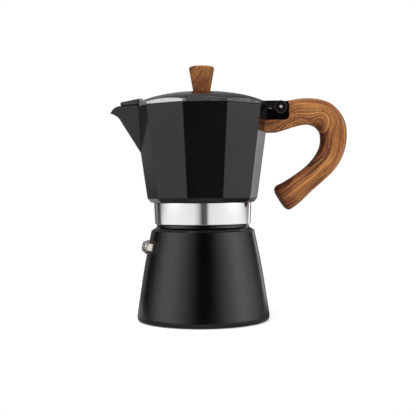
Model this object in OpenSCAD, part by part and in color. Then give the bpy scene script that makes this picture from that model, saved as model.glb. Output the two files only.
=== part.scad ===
// Stovetop moka pot: a boiler, a funnel for the ground coffee, and a ten-sided
// collector with a hinged lid. Millimetres, +Z up. The origin is the centre of the
// boiler's underside, the spout points to -X and the handle to +X.

/* [Boiler] */
// Radius of the boiler where it is widest, just above the base
boiler_base_r = 50.5; // [44:0.5:60]
// Radius of the boiler at its shoulder
boiler_top_r = 39.2; // [37.5:0.1:43]
// Height of the shoulder's outer edge
boiler_h = 68.2; // [56:0.2:81]
// How far the side wall bulges beyond a straight cone
boiler_bulge = 0.7; // [0:0.1:2]
// Thickness of the side wall
boiler_wall = 2.6; // [2:0.1:3.5]
// Thickness of the floor
boiler_floor = 3; // [2:0.1:5]
// Radius of the rounded edge at the base
base_fillet = 1.8; // [0.5:0.1:3]

/* [Neck and thread] */
// Radius of the plain step under the collar
neck_step_r = 35; // [34.8:0.1:35.5]
// Outer radius of the neck at the root of its thread
neck_r = 33.2; // [32.5:0.1:33.3]
// Wall of the neck
neck_wall = 2.6; // [2:0.1:3]
// Height of the neck above the shoulder's outer edge
neck_h = 16.6; // [14:0.1:20]
// Thread pitch
thread_pitch = 4; // [3:0.5:4]
// Turns of thread on each side
thread_turns = 2; // [1:0.5:2]
// How far a ridge stands out from the neck or the collar
thread_ridge = 0.75; // [0.4:0.05:0.8]
// Space between the two threads' crests
thread_gap = 0.15; // [0.1:0.05:0.3]

/* [Safety valve] */
// Height of the valve on the side wall
valve_z = 56.2; // [40:0.2:58]
// Direction of the valve around the pot, from +X
valve_turn = 200; // [180:1:220]
// Hexagon across its flats
valve_af = 9; // [8:0.5:12]
// How far the valve stands out of the wall
valve_out = 6.2; // [4:0.2:9]
// Radius of the threaded shank
valve_shank_r = 4; // [3.4:0.1:4.4]
// Radius of the plunger's pin
valve_pin_r = 1.1; // [0.8:0.1:1.3]

/* [Funnel] */
// Outer radius of the coffee basket
basket_r = 29; // [27:0.1:30]
// Depth of the basket from its flange to the perforated disc
basket_depth = 24; // [18:0.5:27]
// Outer radius of the stem
stem_r = 4.6; // [4:0.1:6]
// Space between the stem's end and the boiler's floor
stem_gap = 5; // [3:0.5:10]
// Sheet thickness of the funnel
funnel_wall = 0.8; // [0.6:0.1:1.2]

/* [Gasket and filter] */
// Thickness of the gasket
gasket_t = 2.5; // [2:0.1:3.5]
// Outer radius of the gasket
gasket_r = 33; // [32:0.1:33.2]
// Radius of the perforated filter plate
plate_r = 27.4; // [26:0.1:28.5]
// Thickness of the filter plate
plate_t = 0.8; // [0.6:0.1:1.2]
// Radius of each hole in the plate
plate_hole_r = 0.6; // [0.4:0.05:0.8]

/* [Collector] */
// Number of flat sides
sides = 10; // [10]
// Corner radius at the rim
rim_r = 51.5; // [48:0.5:60]
// Corner radius at the top of the bottom chamfer
waist_r = 42; // [40:0.5:45]
// Corner radius at the underside
foot_r = 39.2; // [39:0.1:40]
// Height of the bottom chamfer
foot_h = 3.2; // [2:0.1:5]
// Height of the collector, underside to rim
collector_h = 71.6; // [60:0.2:86]
// Wall thickness of the casting
collector_wall = 2.7; // [2:0.1:4]
// Height of the polished collar
collar_h = 16.2; // [15:0.1:18]
// Radius of the collar at its top
collar_top_r = 37.1; // [36.8:0.1:38]
// Radius of the collar at its bottom
collar_low_r = 36.4; // [36.2:0.1:37.5]
// Height of the coffee column's top above the collector's underside
column_h = 60; // [40:1:62]
// Outer radius of the column at its top
column_r = 6; // [5:0.1:8]
// Bore of the column
column_bore_r = 3.9; // [3:0.1:4.5]

/* [Spout] */
// Distance from the pot's axis to the spout's tip
spout_reach = 69.5; // [62:0.5:80]
// How far the tip lies below the rim
tip_drop = 3.8; // [2:0.1:6]
// Where the spout's prow leaves the body, below the rim
prow_drop = 33.7; // [20:0.1:45]
// How far the spout's top edge stands above the rim
spout_rise = 1.4; // [0.6:0.1:2]
// Half of the spout's width where it meets the body at the rim
spout_half_w = 10; // [7:0.5:14]
// Wall thickness of the spout
spout_wall = 1.8; // [1.4:0.1:2.5]

/* [Lid] */
// Space between the lid and the rim
lid_gap = 0.2; // [0.1:0.05:0.6]
// Height of the lid's centre above its underside
lid_rise = 12; // [8:0.2:18]
// Height of the lid's flat sides at a corner
lid_side = 1.9; // [1:0.1:4]
// Sheet thickness of the lid
lid_wall = 2; // [1.5:0.1:3]
// Distance from the pot's axis to the tab's tip
tab_reach = 61.8; // [56:0.2:68]
// Thickness of the tab at its tip
tab_t = 2.6; // [2:0.1:4]

/* [Hinge] */
// Distance from the pot's axis to the hinge pin
pin_x = 59.4; // [57:0.2:64]
// Height of the pin above the rim
pin_up = 0.4; // [0:0.1:1.5]
// Radius of the hinge pin
pin_r = 1.5; // [1.2:0.1:2]
// Running clearance of the pin in the lid's lugs
pin_gap = 0.06; // [0.03:0.01:0.1]
// Width of the block cast on the collector
block_w = 10; // [8:0.5:14]
// Thickness of each lug of the lid
lug_t = 2.4; // [2:0.1:3]
// Radius of each lug's round end
lug_r = 4.9; // [4:0.1:5.2]
// Space between a lug and the block
lug_gap = 0.3; // [0.2:0.05:0.6]

/* [Knob] */
// Height of the knob
knob_h = 19.4; // [14:0.2:30]
// Radius of the knob near its top
knob_top_r = 9.6; // [7:0.1:12]
// Radius of the knob at its foot
knob_foot_r = 6.45; // [5:0.05:9]
// Radius of the lid and handle screws' shanks
screw_r = 1.5; // [1.2:0.1:2]

/* [Handle] */
// Width of the handle across the pot
handle_w = 18; // [14:0.5:24]
// Squareness of the grip's section, 2 for an ellipse
handle_square = 2.6; // [2:0.1:4]
// Distance from the block to the handle's outermost face
handle_reach = 45.2; // [38:0.2:55]

/* [Hidden] */
$fn = 64;
eps = 0.01;

// Heights that follow from the stack of parts
shoulder_rise = 2.7;
neck_z = boiler_h + shoulder_rise;
neck_top = boiler_h + neck_h;
flange_t = 1;
seal_z = neck_top + flange_t;
floor_z = seal_z + gasket_t;
spigot_h = 1.1;
collector_z = floor_z + spigot_h;
waist_z = collector_z + foot_h;
rim_z = collector_z + collector_h;
collar_z = collector_z - collar_h;
column_top = collector_z + column_h;
bowl_floor = 4.4;
bowl_z = collector_z + bowl_floor;
chamber_h = 4.4;
lid_z = rim_z + lid_gap;
lid_r = rim_r - 0.2;
lid_side_gap = 0.4;
knob_z = lid_z + lid_rise;
insert_r = 2.6;
insert_h = 8;
pin_z = rim_z + pin_up;

// Hinge block, reckoned from the pin
block_below = 9.8;
block_above = 4.7;
block_beyond = 6.3;
block_corner = 2.8;
block_low = pin_z - block_below;
block_top = pin_z + block_above;
block_right = pin_x + block_beyond;

// Handle screw, driven up into the block
screw_x = pin_x - 1.6;
screw_below_pin = 5.8;
foot_under_head = 4.8;
screw_top = pin_z - screw_below_pin;
screw_seat = block_low - foot_under_head;
head_r = screw_r * 2.1;
head_t = 2;

// Radii that follow from the fits
neck_bore_r = neck_r - neck_wall;
neck_crest_r = neck_r + thread_ridge;
collar_crest_r = neck_crest_r + thread_gap;
collar_bore_r = collar_crest_r + thread_ridge;
// Height that half a ridge and its lead take beyond the first and last half turns
thread_end = 0.55 * thread_pitch;
neck_thread_z = neck_top - 0.3 - thread_end - thread_pitch * (thread_turns - 0.5);
facet = cos(180 / sides);

// Valve, along its own axis from the wall's outer surface
valve_tilt = atan((boiler_base_r - boiler_top_r) / boiler_h) + 1.5;
valve_seat = -0.6;
washer_t = 0.8;
washer_r = valve_af * 0.64;
shank_end = -6.2;
cavity_r = valve_shank_r - 1.2;
shoulder_at = valve_out - 2.6;
retainer_t = 1.4;
seal_t = 0.5;
disc_t = 1;
disc_r = cavity_r - 0.4;
pin_out = 0.4;
spring_wire = 0.25;

function wall_r(t) = boiler_base_r + (boiler_top_r - boiler_base_r) * t + boiler_bulge * 4 * t * (1 - t);
function side_z(t) = base_fillet + 1.4 + (boiler_h - base_fillet - 1.4) * t;
function body_r(z) = waist_r + (rim_r - waist_r) * (z - waist_z) / (rim_z - waist_z);
valve_t = (valve_z - side_z(0)) / (boiler_h - side_z(0));

module ten_sided(r1, r2, h) {
    cylinder(r1 = r1, r2 = r2, h = h, $fn = sides);
}

// A thread ridge made of half rings, each tilted by the lead angle
module thread(root, crest, z0) {
    lead = atan(thread_pitch / 4 / crest);
    half = thread_pitch * 0.3;
    tip = thread_pitch * 0.08;
    for (i = [0 : 2 * thread_turns - 1])
        translate([0, 0, z0 + i * thread_pitch / 2])
            rotate([0, i % 2 == 0 ? lead : -lead, 0])
                rotate([0, 0, (i % 2) * 180 - 3])
                    rotate_extrude(angle = 186)
                        polygon([[root, -half], [crest, -tip], [crest, tip], [root, half]]);
}

module at_valve() {
    r = wall_r(valve_t);
    translate([r * cos(valve_turn), r * sin(valve_turn), valve_z])
        rotate([0, 90 - valve_tilt, valve_turn])
            children();
}

module boiler_profile() {
    steps = 12;
    side = [for (i = [0 : steps]) [wall_r(i / steps), side_z(i / steps)]];
    fillet = [for (a = [-90 : 22.5 : 0]) [boiler_base_r - 0.4 - base_fillet + base_fillet * cos(a),
                                          base_fillet + base_fillet * sin(a)]];
    inside = [for (i = [steps : -1 : 1]) [wall_r(i / steps) - boiler_wall,
                                          side_z(i / steps) - (i == steps ? 3.4 : 0)]];
    polygon(concat(
        [[0, 0]],
        fillet,
        side,
        [[neck_step_r, neck_z], [neck_step_r, neck_z + 1.9], [neck_r, neck_z + 2.8],
         [neck_r, neck_top], [neck_bore_r, neck_top], [neck_bore_r, boiler_h - 1]],
        inside,
        [[wall_r(0) - boiler_wall - 2, boiler_floor], [0, boiler_floor]]));
}

module boiler() {
    color([0.07, 0.07, 0.075])
        difference() {
            union() {
                rotate_extrude()
                    boiler_profile();
                thread(neck_r - 0.5, neck_crest_r, neck_thread_z);
            }
            at_valve() {
                translate([0, 0, valve_seat])
                    cylinder(r = washer_r + 0.3, h = 5);
                translate([0, 0, -12])
                    cylinder(r = valve_shank_r, h = 15);
            }
        }
}

module valve_washer() {
    color([0.1, 0.08, 0.07])
        at_valve()
            translate([0, 0, valve_seat])
                difference() {
                    cylinder(r = washer_r, h = washer_t);
                    translate([0, 0, -1])
                        cylinder(r = valve_shank_r, h = washer_t + 2);
                }
}

module valve_body() {
    hex_z = valve_seat + washer_t;
    hex_top = valve_out - 1.3;
    color([0.75, 0.7, 0.66])
        at_valve()
            difference() {
                union() {
                    translate([0, 0, hex_z])
                        intersection() {
                            cylinder(r = valve_af / 2 / cos(30), h = hex_top - hex_z, $fn = 6);
                            translate([0, 0, -0.9])
                                cylinder(r1 = valve_af * 0.8, r2 = valve_af * 0.49, h = hex_top - hex_z + 1.1);
                        }
                    cylinder(r = valve_af * 0.42, h = valve_out);
                    translate([0, 0, shank_end])
                        cylinder(r = valve_shank_r, h = hex_z - shank_end + 0.5);
                }
                translate([0, 0, shank_end - 1])
                    cylinder(r = cavity_r, h = shoulder_at - shank_end + 1);
                cylinder(r = valve_pin_r + 0.06, h = valve_out + 1);
            }
}

module valve_retainer() {
    color([0.75, 0.7, 0.66])
        at_valve()
            translate([0, 0, shank_end])
                difference() {
                    cylinder(r = cavity_r, h = retainer_t);
                    translate([0, 0, -1])
                        cylinder(r = cavity_r - 1.3, h = retainer_t + 2);
                }
}

module valve_seal() {
    color([0.75, 0.2, 0.12])
        at_valve()
            translate([0, 0, shank_end + retainer_t])
                cylinder(r = disc_r - 0.2, h = seal_t);
}

module valve_plunger() {
    disc_z = shank_end + retainer_t + seal_t;
    color([0.8, 0.78, 0.75])
        at_valve()
            union() {
                translate([0, 0, disc_z])
                    cylinder(r = disc_r, h = disc_t);
                translate([0, 0, disc_z])
                    cylinder(r = valve_pin_r, h = valve_out + pin_out - disc_z - 0.3);
                translate([0, 0, valve_out + pin_out - 0.3])
                    cylinder(r1 = valve_pin_r, r2 = valve_pin_r - 0.3, h = 0.3);
            }
}

// A coil spring swept as one tube of six sides
module coil(radius, wire, height, turns) {
    per_turn = 14;
    rings = per_turn * turns;
    n = 6;
    function ring_z(i) = wire + (height - 2 * wire) * i / rings;
    points = [for (i = [0 : rings], k = [0 : n - 1])
        let (a = 360 * i / per_turn, b = 360 * k / n, r = radius + wire * cos(b))
        [r * cos(a), r * sin(a), ring_z(i) + wire * sin(b)]];
    skin = [for (i = [0 : rings - 1], k = [0 : n - 1])
        let (a = i * n + k, b = i * n + (k + 1) % n)
        [a, a + n, b + n, b]];
    ends = [[for (k = [0 : n - 1]) k], [for (k = [n - 1 : -1 : 0]) rings * n + k]];
    polyhedron(points, concat(skin, ends), convexity = 8);
}

module valve_spring() {
    low = shank_end + retainer_t + seal_t + disc_t + 0.05;
    color([0.8, 0.8, 0.8])
        at_valve()
            translate([0, 0, low])
                coil((valve_pin_r + cavity_r) / 2, spring_wire, shoulder_at - low - 0.05, 5);
}

module funnel() {
    disc_z = neck_top - basket_depth;
    cone_z = disc_z - funnel_wall;
    stem_top = cone_z - (basket_r - stem_r) * 0.36;
    stem_low = boiler_floor + stem_gap;
    t = funnel_wall;
    color([0.72, 0.73, 0.74])
        rotate_extrude()
            polygon([
                [stem_r, stem_low], [stem_r, stem_top], [basket_r - 0.6, cone_z - 0.4],
                [basket_r - 0.3, cone_z], [basket_r, neck_top - 2], [basket_r, neck_top],
                [neck_r - 0.2, neck_top], [neck_r - 0.2, seal_z], [basket_r - t, seal_z],
                [basket_r - t - 0.3, disc_z], [basket_r - t - 2, disc_z],
                [stem_r - t, stem_top + t], [stem_r - t, stem_low]]);
}

module pierced_disc(r, t, hole_r, rows, first) {
    difference() {
        cylinder(r = r, h = t);
        for (row = [1 : rows], k = [0 : first * row - 1])
            rotate([0, 0, 360 * k / (first * row)])
                translate([row * (r - 2) / (rows + 0.6), 0, -1])
                    cylinder(r = hole_r, h = t + 2, $fn = 16);
    }
}

module funnel_disc() {
    color([0.78, 0.79, 0.8])
        translate([0, 0, neck_top - basket_depth])
            pierced_disc(basket_r - funnel_wall - 0.4, 0.8, 0.9, 5, 6);
}

module gasket() {
    lip = gasket_t - plate_t - 0.7;
    color([0.93, 0.92, 0.9])
        translate([0, 0, seal_z])
            rotate_extrude()
                polygon([
                    [plate_r - 1.4, 0], [gasket_r, 0], [gasket_r, gasket_t],
                    [plate_r + 0.05, gasket_t], [plate_r + 0.05, lip], [plate_r - 1.4, lip]]);
}

module filter_plate() {
    color([0.8, 0.81, 0.82])
        translate([0, 0, seal_z + gasket_t - plate_t - 0.7])
            pierced_disc(plate_r, plate_t, plate_hole_r, 6, 6);
}

module threaded_collar() {
    edge = 0.5;
    color([0.88, 0.88, 0.89])
        union() {
            rotate_extrude()
                polygon([
                    [collar_bore_r, collar_z], [collar_low_r - edge, collar_z],
                    [collar_low_r, collar_z + edge], [collar_top_r, collector_z - edge],
                    [collar_top_r - edge, collector_z], [collar_bore_r, collector_z]]);
            thread(collar_bore_r + 0.4, collar_crest_r, collar_z + 0.3 + thread_end);
        }
}

// The space between the spout's two flat sides, moved back by a wall's thickness
module spout_wedge(back) {
    top = rim_z + 4;
    prow = [-body_r(rim_z - prow_drop), rim_z - prow_drop];
    tip = [-spout_reach, rim_z - tip_drop];
    slope = (tip[0] - prow[0]) / (tip[1] - prow[1]);
    // Across the corner the body's side lies further in, where the spout's flat meets it
    root_x = -rim_r + spout_half_w * tan(180 / sides);
    nose_at_rim = prow[0] + slope * prow_drop;
    spread = spout_half_w / (root_x - nose_at_rim);
    inner = -rim_r + 16;
    function nose(z) = prow[0] + slope * (z - prow[1]);
    low = prow[1] + (inner - prow[0]) / slope;
    translate([back, 0, 0])
        polyhedron(
            [[inner, 0, low],
             [inner, -spread * (inner - nose(top)), top],
             [inner, spread * (inner - nose(top)), top],
             [nose(top), 0, top]],
            [[0, 1, 2], [3, 2, 1], [3, 1, 0], [2, 3, 0]]);
}

function curve(a, b, c, t) = a * (1 - t) * (1 - t) + b * 2 * t * (1 - t) + c * t * t;

// Side view of the spout: straight prow, drooping beak and rounded top edge
module spout_outline() {
    tip = [-spout_reach, rim_z - tip_drop];
    prow = [-body_r(rim_z - prow_drop), rim_z - prow_drop];
    neck = tip + [7.3, -4.9];
    crest = tip + [7, tip_drop + spout_rise];
    polygon(concat(
        [[-rim_r + 15, prow[1] - 8], prow],
        [for (t = [0 : 0.2 : 0.8]) curve(neck, tip + [5.1, -1.4], tip, t)],
        [for (t = [0 : 0.2 : 1]) curve(tip, tip + [2.1, 4.6], crest, t)],
        [[-rim_r + 15, crest[1]]]));
}

// Side view of the channel inside the spout, open at the top
module channel_outline() {
    rise = spout_wall * 1.6;
    tip = [-spout_reach, rim_z - tip_drop];
    prow = [-body_r(rim_z - prow_drop), rim_z - prow_drop];
    top = rim_z + 5;
    polygon([
        [-rim_r + 15, prow[1] - 8], prow + [0, rise], tip + [7.3, rise - 4.9],
        tip + [4, rise - 1.6], tip + [0, rise], [tip[0], top], [-rim_r + 15, top]]);
}

module upright(width) {
    rotate([90, 0, 0])
        linear_extrude(height = width, center = true)
            children();
}

// Side view of the block that carries the hinge pin and the handle
module block_outline(grow) {
    low = block_low - grow;
    right = block_right + grow;
    corner = block_corner + grow;
    left = body_r(block_low) - block_w / 2 * tan(180 / sides) - 0.4;
    union() {
        translate([left, low])
            square([right - left - corner, block_top - low]);
        translate([left, low + corner])
            square([right - left, block_top - low - corner]);
        translate([right - corner, low + corner])
            circle(r = corner);
    }
}

module hinge_block() {
    // Room for the lid and its lugs' bars when it is down
    lid_clear = 0.8;
    bar_room = 3.4;
    upright(block_w)
        difference() {
            block_outline(0);
            translate([0, lid_z - lid_clear])
                square([rim_r + bar_room, 12]);
        }
}

module column() {
    cap = 2;
    base_r = column_r + 3;
    top = column_top;
    slot_w = 4;
    difference() {
        rotate_extrude()
            polygon([
                [0, floor_z + 6], [waist_r * 0.78, bowl_z - 1.5], [waist_r * 0.78, bowl_z],
                [base_r + 2, bowl_z + 5], [base_r, bowl_z + 8],
                [column_r, top - 1], [column_r - 1, top], [0, top]]);
        translate([0, 0, floor_z])
            cylinder(r = column_bore_r, h = top - cap - floor_z);
        translate([-20, -slot_w / 2, top - cap - 8])
            cube([40, slot_w, 8]);
    }
}

module collector() {
    inset = collector_wall / facet;
    color([0.07, 0.07, 0.075])
        difference() {
            union() {
                difference() {
                    union() {
                        translate([0, 0, collector_z])
                            ten_sided(foot_r, waist_r, foot_h);
                        translate([0, 0, waist_z])
                            ten_sided(waist_r, rim_r, rim_z - waist_z);
                        intersection() {
                            spout_wedge(0);
                            upright(60)
                                spout_outline();
                        }
                    }
                    translate([0, 0, bowl_z])
                        ten_sided(body_r(bowl_z) - inset, body_r(rim_z + 3) - inset, rim_z + 3 - bowl_z);
                    intersection() {
                        spout_wedge(spout_wall * 2.6);
                        upright(60)
                            channel_outline();
                    }
                    // Seat of the lid, level with the rim
                    translate([0, 0, rim_z + lid_gap / 4])
                        ten_sided(lid_r + lid_side_gap, lid_r + lid_side_gap, spout_rise + 1);
                }
                hinge_block();
                translate([0, 0, floor_z])
                    cylinder(r = collar_bore_r, h = spigot_h + 1);
                column();
            }
            // Chamber over the filter plate, rising to the column
            translate([0, 0, floor_z - eps])
                rotate_extrude()
                    polygon([[0, 0], [plate_r - 2, 0], [column_bore_r + 1, chamber_h], [0, chamber_h]]);
            translate([0, 0, floor_z])
                cylinder(r = column_bore_r, h = 12);
            translate([pin_x, 0, pin_z])
                rotate([90, 0, 0])
                    cylinder(r = pin_r, h = block_w + 10, center = true);
            translate([screw_x, 0, block_low - 1])
                cylinder(r = screw_r, h = screw_top - block_low + 1.5);
        }
}

module hinge_pin() {
    half = block_w / 2 + lug_gap + lug_t + 0.4;
    color([0.9, 0.9, 0.9])
        translate([pin_x, 0, pin_z])
            rotate([90, 0, 0])
                union() {
                    cylinder(r = pin_r, h = 2 * half, center = true);
                    for (s = [-1, 1])
                        rotate([s > 0 ? 0 : 180, 0, 0])
                            translate([0, 0, half - eps])
                                cylinder(r1 = pin_r, r2 = pin_r - 0.4, h = 0.4);
                }
}

// Height of the lid's top above its underside, at a share u of its corner radius
function dome_z(u) = lid_rise - (lid_rise - lid_side) * (0.79 * pow(u, 2) + 0.21 * pow(u, 8));

// Half section of the domed space under a skin that is down by t
module dome_section(t, reach) {
    steps = 14;
    polygon(concat(
        [[0, -1], [reach, -1]],
        [for (i = [steps : -1 : 0]) [reach * i / steps, dome_z(reach / lid_r * i / steps) - t]]));
}

module lid_shell() {
    difference() {
        intersection() {
            rotate_extrude()
                dome_section(0, lid_r + 0.5);
            ten_sided(lid_r, lid_r, lid_rise + 1);
        }
        intersection() {
            rotate_extrude()
                dome_section(lid_wall, lid_r);
            translate([0, 0, -1])
                ten_sided(lid_r - lid_wall / facet, lid_r - lid_wall / facet, lid_rise + 1);
        }
    }
}

// The tab that covers the spout, in plan a blunt wedge with a sloping top
module lid_tab() {
    root = -rim_r + 7;
    root_w = spout_half_w - 1;
    tip_w = 1.8;
    corner_x = -rim_r + 1.1;
    low = spout_rise + 0.3;
    intersection() {
        linear_extrude(height = lid_rise)
            polygon([
                [root, -root_w], [root, root_w], [corner_x, root_w - 1], [-tab_reach, tip_w],
                [-tab_reach, -tip_w], [corner_x, -root_w + 1]]);
        upright(60)
            polygon([
                [root, low], [root, low + tab_t + 2.5], [-tab_reach, low + tab_t], [-tab_reach, low]]);
    }
}

module lug_outline() {
    union() {
        circle(r = lug_r);
        translate([rim_r - 6 - pin_x, 0.3])
            square([pin_x - rim_r + 6, 4.4]);
    }
}

module lid() {
    color([0.09, 0.085, 0.085])
        difference() {
            union() {
                translate([0, 0, lid_z])
                    union() {
                        lid_shell();
                        lid_tab();
                        translate([0, 0, lid_rise - lid_wall - 0.2])
                            cylinder(r = knob_foot_r + 0.3, h = lid_wall + 0.2);
                    }
                for (s = [-1, 1])
                    translate([pin_x, s * (block_w / 2 + lug_gap + lug_t / 2), pin_z])
                        upright(lug_t)
                            lug_outline();
            }
            translate([pin_x, 0, pin_z])
                rotate([90, 0, 0])
                    cylinder(r = pin_r + pin_gap, h = block_w + 20, center = true);
            translate([0, 0, lid_z])
                cylinder(r = screw_r + 0.2, h = lid_rise + 5);
        }
}

module knob() {
    edge = 1.6;
    color([0.55, 0.36, 0.2])
        translate([0, 0, knob_z])
            difference() {
                rotate_extrude()
                    polygon(concat(
                        [[0, 0], [knob_foot_r - 0.4, 0], [knob_foot_r, 0.4]],
                        [for (a = [0 : 22.5 : 90])
                            [knob_top_r - edge + edge * cos(a), knob_h - edge - 0.3 + edge * sin(a)]],
                        [[0, knob_h]]));
                translate([0, 0, -1])
                    cylinder(r = insert_r, h = insert_h + 2);
            }
}

module knob_insert() {
    color([0.8, 0.65, 0.35])
        translate([0, 0, knob_z + 1])
            difference() {
                cylinder(r = insert_r, h = insert_h);
                translate([0, 0, -1])
                    cylinder(r = screw_r, h = insert_h + 2);
            }
}

// Pan-headed screw with its head at the bottom and its shank up
module pan_screw(shank) {
    difference() {
        union() {
            cylinder(r1 = head_r - 0.5, r2 = head_r, h = 0.5);
            translate([0, 0, 0.5])
                cylinder(r = head_r, h = head_t - 0.5);
            cylinder(r = screw_r, h = head_t + shank);
        }
        for (a = [0, 90])
            rotate([0, 0, a])
                translate([-1.5, -0.35, -1])
                    cube([3, 0.7, 2]);
    }
}

module knob_screw() {
    seat = lid_z + lid_rise - lid_wall - 0.2;
    color([0.8, 0.8, 0.82])
        translate([0, 0, seat - head_t])
            pan_screw(knob_z + insert_h - seat);
}

// Rounded rectangle-like ring of the grip at one place along its centre line
function ring(c, dir, half, wide, n) = [for (k = [0 : n - 1])
    let (a = 360 * k / n, e = 2 / handle_square,
         u = wide * sign(cos(a)) * pow(abs(cos(a)), e),
         v = half * sign(sin(a)) * pow(abs(sin(a)), e))
    [c[0] - dir[1] * v, u, c[1] + dir[0] * v]];

function blend(p, i, t) = 0.5 * (2 * p[i] + (p[i + 1] - p[i - 1]) * t
    + (2 * p[i - 1] - 5 * p[i] + 4 * p[i + 1] - p[i + 2]) * t * t
    + (3 * p[i] - p[i - 1] - 3 * p[i + 1] + p[i + 2]) * t * t * t);

// The grip, one tube through stations of [distance out, height from the rim, half depth]
module grip() {
    k = handle_reach / 45.2;
    stations = [
        [-9, -2.6, 10.4], [0, -4.7, 10.4], [9 * k, -3.1, 10.1], [18 * k, -2.9, 10.2],
        [27.2 * k, -5.9, 10.9], [33.4 * k, -13.2, 10.7], [35.1 * k, -22.2, 10.1],
        [33.5 * k, -32.4, 9.6], [28.4 * k, -41.8, 9.2], [20.4 * k, -50.2, 8.6],
        [11.7 * k, -57.3, 8.9], [1.5 * k, -65.2, 10.1], [-6.8 * k, -70.1, 10.6], [-13, -74.4, 9]];
    steps = 4;
    n = 16;
    last = len(stations) - 3;
    path = concat(
        [for (i = [1 : last], j = [0 : steps - 1]) blend(stations, i, j / steps)],
        [stations[last + 1]]);
    count = len(path);
    function away(i) = i == 0 ? path[1] - path[0]
        : i == count - 1 ? path[i] - path[i - 1] : path[i + 1] - path[i - 1];
    function unit(v) = [v[0], v[1]] / norm([v[0], v[1]]);
    // The far end is rounded over its last few rings
    function trim(i) = i < count - 3 ? 1 : [0.97, 0.9, 0.74][i - count + 3];
    rings = [for (i = [0 : count - 1])
        let (d = i == 0 ? [1, 0] : unit(away(i)))
        each ring([block_right + 0.1 + path[i][0], rim_z + path[i][1]], d,
                  path[i][2] * trim(i), handle_w / 2 * trim(i), n)];
    skin = [for (i = [0 : count - 2], j = [0 : n - 1])
        let (a = i * n + j, b = i * n + (j + 1) % n)
        each [[a, b + n, b], [a, a + n, b + n]]];
    ends = [[for (j = [0 : n - 1]) j], [for (j = [n - 1 : -1 : 0]) (count - 1) * n + j]];
    polyhedron(rings, concat(skin, ends), convexity = 6);
}

// The handle's foot under the block
module foot_outline() {
    left = body_r(block_low - 9) - 3;
    right = block_right + 3;
    polygon([
        [left, block_low - 8.4], [left + 3.4, block_low - 9], [left + 7, block_low - 9],
        [left + 12, block_low - 8.8], [left + 17.5, block_low - 7.1], [right, block_low - 5.6],
        [right, block_low + 2.6], [block_right - 2.5, block_low + 2.6],
        [block_right - 2.5, block_low], [left, block_low]]);
}

module handle() {
    clear = 0.05;
    color([0.55, 0.36, 0.2])
        difference() {
            union() {
                grip();
                upright(handle_w - 1.6)
                    foot_outline();
            }
            upright(handle_w + 4)
                block_outline(0.1);
            translate([0, 0, waist_z])
                ten_sided(waist_r + clear, rim_r + clear, rim_z - waist_z);
            translate([screw_x, 0, block_low - 20])
                cylinder(r = screw_r + 0.2, h = 30);
            translate([screw_x, 0, screw_seat - 20])
                cylinder(r = head_r + 0.3, h = 20);
        }
}

module handle_washer() {
    color([0.7, 0.71, 0.72])
        translate([screw_x, 0, screw_seat - 0.6])
            difference() {
                cylinder(r = head_r, h = 0.6);
                translate([0, 0, -1])
                    cylinder(r = screw_r + 0.1, h = 3);
            }
}

module handle_screw() {
    seat = screw_seat - 0.6;
    color([0.7, 0.71, 0.72])
        translate([screw_x, 0, seat - head_t])
            pan_screw(screw_top - seat);
}

boiler();
valve_washer();
valve_body();
valve_retainer();
valve_plunger();
valve_seal();
valve_spring();
funnel();
funnel_disc();
gasket();
filter_plate();
threaded_collar();
collector();
hinge_pin();
lid();
knob();
knob_insert();
knob_screw();
handle();
handle_screw();
handle_washer();
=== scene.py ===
"""A stovetop moka pot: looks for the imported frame. Metres, +Z up, spout to -X, handle to +X."""
import math

import bpy
import numpy as np
from mathutils import Matrix, Quaternion, Vector


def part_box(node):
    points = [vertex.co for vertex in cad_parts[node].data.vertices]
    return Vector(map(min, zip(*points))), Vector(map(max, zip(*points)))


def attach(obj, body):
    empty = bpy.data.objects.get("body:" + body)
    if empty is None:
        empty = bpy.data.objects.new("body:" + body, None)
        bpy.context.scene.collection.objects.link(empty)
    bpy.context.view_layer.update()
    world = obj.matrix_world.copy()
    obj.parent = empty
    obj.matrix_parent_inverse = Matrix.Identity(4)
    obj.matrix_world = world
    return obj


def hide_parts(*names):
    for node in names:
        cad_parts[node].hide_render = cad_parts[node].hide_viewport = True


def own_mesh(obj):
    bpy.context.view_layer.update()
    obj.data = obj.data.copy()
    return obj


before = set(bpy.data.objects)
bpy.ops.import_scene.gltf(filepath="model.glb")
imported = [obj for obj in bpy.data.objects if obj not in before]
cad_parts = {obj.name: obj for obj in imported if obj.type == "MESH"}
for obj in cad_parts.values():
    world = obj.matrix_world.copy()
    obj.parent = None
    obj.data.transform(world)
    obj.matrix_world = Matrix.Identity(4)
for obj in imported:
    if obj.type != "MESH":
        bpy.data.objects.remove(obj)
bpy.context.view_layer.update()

MM = 0.001

# ---------------------------------------------------------------- sizes, millimetres


def span(node):
    """Lowest and highest corners of a CAD node, in millimetres."""
    low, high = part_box(node)
    return low / MM, high / MM


BOILER_HIGH = span("boiler")[1]
COLLECTOR_LOW, COLLECTOR_HIGH = span("collector")
COLLAR_LOW, COLLAR_HIGH = span("threaded_collar")
LID_LOW, LID_HIGH = span("lid")
KNOB_LOW, KNOB_HIGH = span("knob")
PIN_LOW, PIN_HIGH = span("hinge_pin")
HANDLE_HIGH = span("handle")[1]
SEAL_HIGH = span("gasket")[1]
SCREW_LOW, SCREW_HIGH = span("handle_screw")

SIDES = 10
HALF_SIDE = math.pi / SIDES
EDGE = 0.55                      # rounding of the cast edges
CORNER_POINTS = 5                # points on each rounded corner and each flat of a ten-sided ring
FLAT_POINTS = 6
ROUND_POINTS = 144               # points on the large round rings

# Boiler
BASE_R = BOILER_HIGH.x
NECK_H = 16.6
SHOULDER_R = BASE_R - 11.3
SHOULDER_Z = BOILER_HIGH.z - NECK_H
BULGE = 0.7                      # how far the side stands out beyond a straight cone
SIDE_LOW_Z = 3.2
BOILER_WALL = 2.6
FLOOR_T = 3.0
STEP_R = 35.0
NECK_TOP = BOILER_HIGH.z
NECK_R = 33.2
NECK_BORE_R = 30.6
RIDGE = 0.75                     # how far the thread stands out
PITCH = 4.0

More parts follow.
